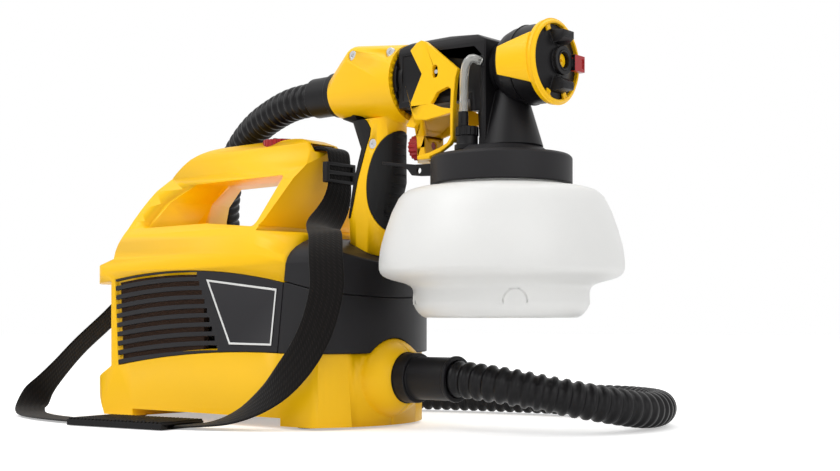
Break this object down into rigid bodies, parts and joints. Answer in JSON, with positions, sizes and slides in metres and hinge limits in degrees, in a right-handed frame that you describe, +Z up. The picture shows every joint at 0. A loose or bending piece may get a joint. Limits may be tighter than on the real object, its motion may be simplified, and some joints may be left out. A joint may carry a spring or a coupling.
{
  "type": "turbine paint sprayer",
  "caption": "Yellow and black turbine paint sprayer: carrying case with docked cup gun, ribbed air hose and shoulder strap.",
  "frame": {"origin": "middle of the standing object's footprint box on the floor, without hose and strap", "axes": "+X towards the spray nozzle, along the carrying handle; +Z up; +Y towards the back of the case"},
  "size_m": [0.5352, 0.3538, 0.2909],
  "materials": {
    "yellow_plastic": "moulded yellow ABS, fine satin texture",
    "black_plastic": "moulded black ABS, fine satin texture",
    "gray_plate": "dark grey plate with a silver border, bare",
    "soft_grip": "soft overmoulded grip",
    "seal_rubber": "black rubber",
    "hose_plastic": "ribbed black hose",
    "webbing": "woven black webbing",
    "red_plastic": "moulded red plastic",
    "cup_plastic": "milky translucent polypropylene",
    "clear_plastic": "clear flexible tube",
    "foam": "open cell filter foam",
    "steel": "plain machined steel",
    "zinc_steel": "zinc plated screws",
    "motor_metal": "dark painted motor can",
    "fan_metal": "pressed aluminium fan",
    "casing_metal": "spun aluminium casing",
    "yellow_nozzle": "moulded yellow nozzle"
  },
  "bodies": {
    "case": {"housing_front": "yellow_plastic", "housing_rear": "yellow_plastic", "rear_grille": "black_plastic", "filter_foam": "foam", "dock_body": "black_plastic", "dock_cover": "black_plastic", "hose_socket": "black_plastic", "air_duct": "black_plastic", "motor": "motor_metal", "fan_casing": "casing_metal", "cord_gland": "seal_rubber", "rubber_feet": "seal_rubber", "housing_screws": "zinc_steel", "strap": "webbing", "strap_buckle": "black_plastic", "strap_pad": "soft_grip", "hose": "hose_plastic", "hose_cuff_port": "black_plastic"},
    "filter_panel": {"filter_cover": "black_plastic", "nameplate": "gray_plate"},
    "rotor": {"rotor_shaft": "steel", "fan_stage_1": "fan_metal", "fan_stage_2": "fan_metal"},
    "dial": {"power_dial": "red_plastic", "dial_cap": "black_plastic"},
    "gun": {"gun_shell_left": "yellow_plastic", "gun_shell_right": "yellow_plastic", "grip_pad": "soft_grip", "saddle_pad": "soft_grip", "gun_coupling": "black_plastic", "coupling_seal": "seal_rubber", "gun_screws": "zinc_steel", "hose_cuff_gun": "black_plastic"},
    "spray_head": {"head_body": "black_plastic", "air_barrel": "black_plastic", "trigger_pin": "steel", "needle_spring": "steel", "fluid_nozzle": "yellow_nozzle", "vent_tube": "clear_plastic", "valve_housing": "black_plastic", "valve_cap": "black_plastic", "lid_ring": "black_plastic", "lid_seal": "seal_rubber", "hook_bracket": "black_plastic"},
    "trigger_lever": {"trigger": "yellow_plastic"},
    "knob": {"flow_knob": "red_plastic"},
    "needle_valve": {"needle": "steel"},
    "cap": {"cap_ring": "yellow_plastic", "air_cap": "black_plastic"},
    "lever": {"width_lever": "red_plastic"},
    "suction_tube": {"pickup_tube": "steel"},
    "paint_cup": {"cup": "cup_plastic"}
  },
  "joints": [
    {"name": "filter_panel_slide", "type": "slide", "parent": "case", "child": "filter_panel", "axis": [0, -1, 0], "range_m": [0, 0.025]},
    {"name": "rotor_spin", "type": "hinge", "parent": "case", "child": "rotor", "pos_m": [-0.13775, 0, 0.066], "axis": [1, 0, 0], "continuous": true},
    {"name": "power_dial_turn", "type": "hinge", "parent": "case", "child": "dial", "pos_m": [-0.07075, 0, 0.228], "axis": [0, 0, 1], "range_deg": [0, 270]},
    {"name": "gun_lift", "type": "slide", "parent": "case", "child": "gun", "axis": [0, 0, 1], "range_m": [0, 0.06], "deforming": ["hose"]},
    {"name": "head_twist", "type": "hinge", "parent": "gun", "child": "spray_head", "pos_m": [0.06225, 0, 0.259], "axis": [-1, 0, 0], "range_deg": [0, 45]},
    {"name": "trigger_pull", "type": "hinge", "parent": "spray_head", "child": "trigger_lever", "pos_m": [0.09875, 0, 0.2765], "axis": [0, 1, 0], "range_deg": [0, 6], "stiffness_Nm_per_rad": 1, "springref_deg": -17.19},
    {"name": "flow_knob_turn", "type": "hinge", "parent": "trigger_lever", "child": "knob", "pos_m": [0.08375, 0, 0.2103], "axis": [1, 0, 0], "range_deg": [0, 330]},
    {"name": "needle_stroke", "type": "slide", "parent": "spray_head", "child": "needle_valve", "axis": [-1, 0, 0], "range_m": [0, 0.0018], "deforming": ["needle_spring"]},
    {"name": "air_cap_turn", "type": "hinge", "parent": "spray_head", "child": "cap", "pos_m": [0.19925, 0, 0.259], "axis": [1, 0, 0], "range_deg": [-45, 45]},
    {"name": "width_lever_turn", "type": "hinge", "parent": "cap", "child": "lever", "pos_m": [0.20825, 0, 0.259], "axis": [1, 0, 0], "range_deg": [-20, 20]},
    {"name": "suction_tube_turn", "type": "hinge", "parent": "spray_head", "child": "suction_tube", "pos_m": [0.15175, 0, 0.1975], "axis": [0, 0, 1], "range_deg": [0, 180]},
    {"name": "cup_unscrew", "type": "hinge", "parent": "spray_head", "child": "paint_cup", "pos_m": [0.15175, 0, 0.177], "axis": [0, 0, -1], "range_deg": [0, 350]}
  ],
  "couplings": [
    {"joint": "needle_stroke", "follows": "trigger_pull", "m_per_rad": 0.017}
  ]
}
